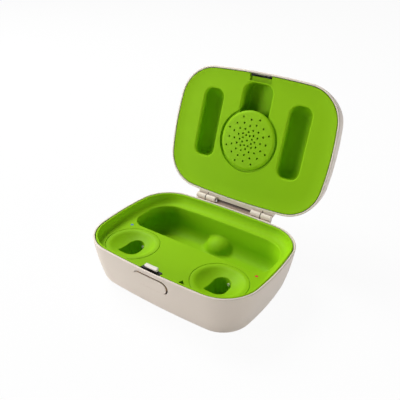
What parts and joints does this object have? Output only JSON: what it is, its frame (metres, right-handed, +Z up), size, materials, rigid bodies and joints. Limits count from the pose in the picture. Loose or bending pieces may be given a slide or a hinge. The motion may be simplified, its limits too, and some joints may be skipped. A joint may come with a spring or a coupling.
{
  "type": "hearing aid charging case",
  "caption": "Clam-shell hearing aid charging case standing open: beige shells on a rear hinge, green tray with charging slots and storage well, push-button latch, drying capsule in the lid.",
  "frame": {"origin": "centre of the base in plan, on the underside of the rubber mat", "axes": "+X to the right seen from the front, +Y to the hinge at the back, +Z up"},
  "size_m": [0.112, 0.1273, 0.1113],
  "materials": {
    "case_plastic": "satin champagne beige lacquer",
    "tray_plastic": "satin lime green",
    "insert_plastic": "satin lime green, a little glossier",
    "desiccant_beads": "orange drying beads, matt",
    "left_blue": "blue printed dot",
    "right_red": "red printed dot",
    "stud_plastic": "pale polished stud",
    "black_plastic": "black moulded",
    "gold_contact": "gold-plated contact",
    "board_laminate": "green solder mask",
    "plain_steel": "plain steel",
    "cell_can": "plain aluminium can",
    "mat_rubber": "matt black rubber",
    "grey_plastic": "grey moulded",
    "hook_plastic": "pale moulded"
  },
  "bodies": {
    "base": {"base_shell": "case_plastic", "base_hinge": "case_plastic", "tray": "tray_plastic", "left_insert": "insert_plastic", "right_insert": "insert_plastic", "left_marker": "left_blue", "right_marker": "right_red", "left_stud": "stud_plastic", "right_stud": "stud_plastic", "left_pin_block": "black_plastic", "right_pin_block": "black_plastic", "board_chips": "black_plastic", "charging_board": "board_laminate", "board_screws": "plain_steel", "tray_screws": "plain_steel", "hinge_pins": "plain_steel", "latch_spring": "plain_steel", "power_socket": "plain_steel", "power_cell": "cell_can", "rubber_mat": "mat_rubber", "latch_guide": "grey_plastic"},
    "latch": {"latch_button": "case_plastic", "latch_hook": "hook_plastic"},
    "lid": {"lid_shell": "case_plastic", "lid_liner": "tray_plastic", "lid_hinge": "case_plastic", "catch_plate": "black_plastic"},
    "capsule": {"capsule_cover": "insert_plastic", "capsule_cup": "insert_plastic", "desiccant": "desiccant_beads"},
    "left_contact": {"left_pins": "gold_contact"},
    "right_contact": {"right_pins": "gold_contact"}
  },
  "joints": [
    {"name": "lid_hinge", "type": "hinge", "parent": "base", "child": "lid", "pos_m": [0, 0.04405, 0.0301], "axis": [1, 0, 0], "range_deg": [0, 108]},
    {"name": "latch_press", "type": "slide", "parent": "base", "child": "latch", "axis": [0, 1, 0], "range_m": [0, 0.0012], "stiffness_N_per_m": 1500, "springref_m": -0.0006, "deforming": ["latch_spring"]},
    {"name": "capsule_lift", "type": "slide", "parent": "lid", "child": "capsule", "axis": [0, -0.9511, 0.309], "range_m": [0, 0.006]},
    {"name": "left_pin_press", "type": "slide", "parent": "base", "child": "left_contact", "axis": [0, 0, -1], "range_m": [0, 0.0008], "stiffness_N_per_m": 600, "springref_m": -0.0003},
    {"name": "right_pin_press", "type": "slide", "parent": "base", "child": "right_contact", "axis": [0, 0, -1], "range_m": [0, 0.0008], "stiffness_N_per_m": 600, "springref_m": -0.0003}
  ]
}
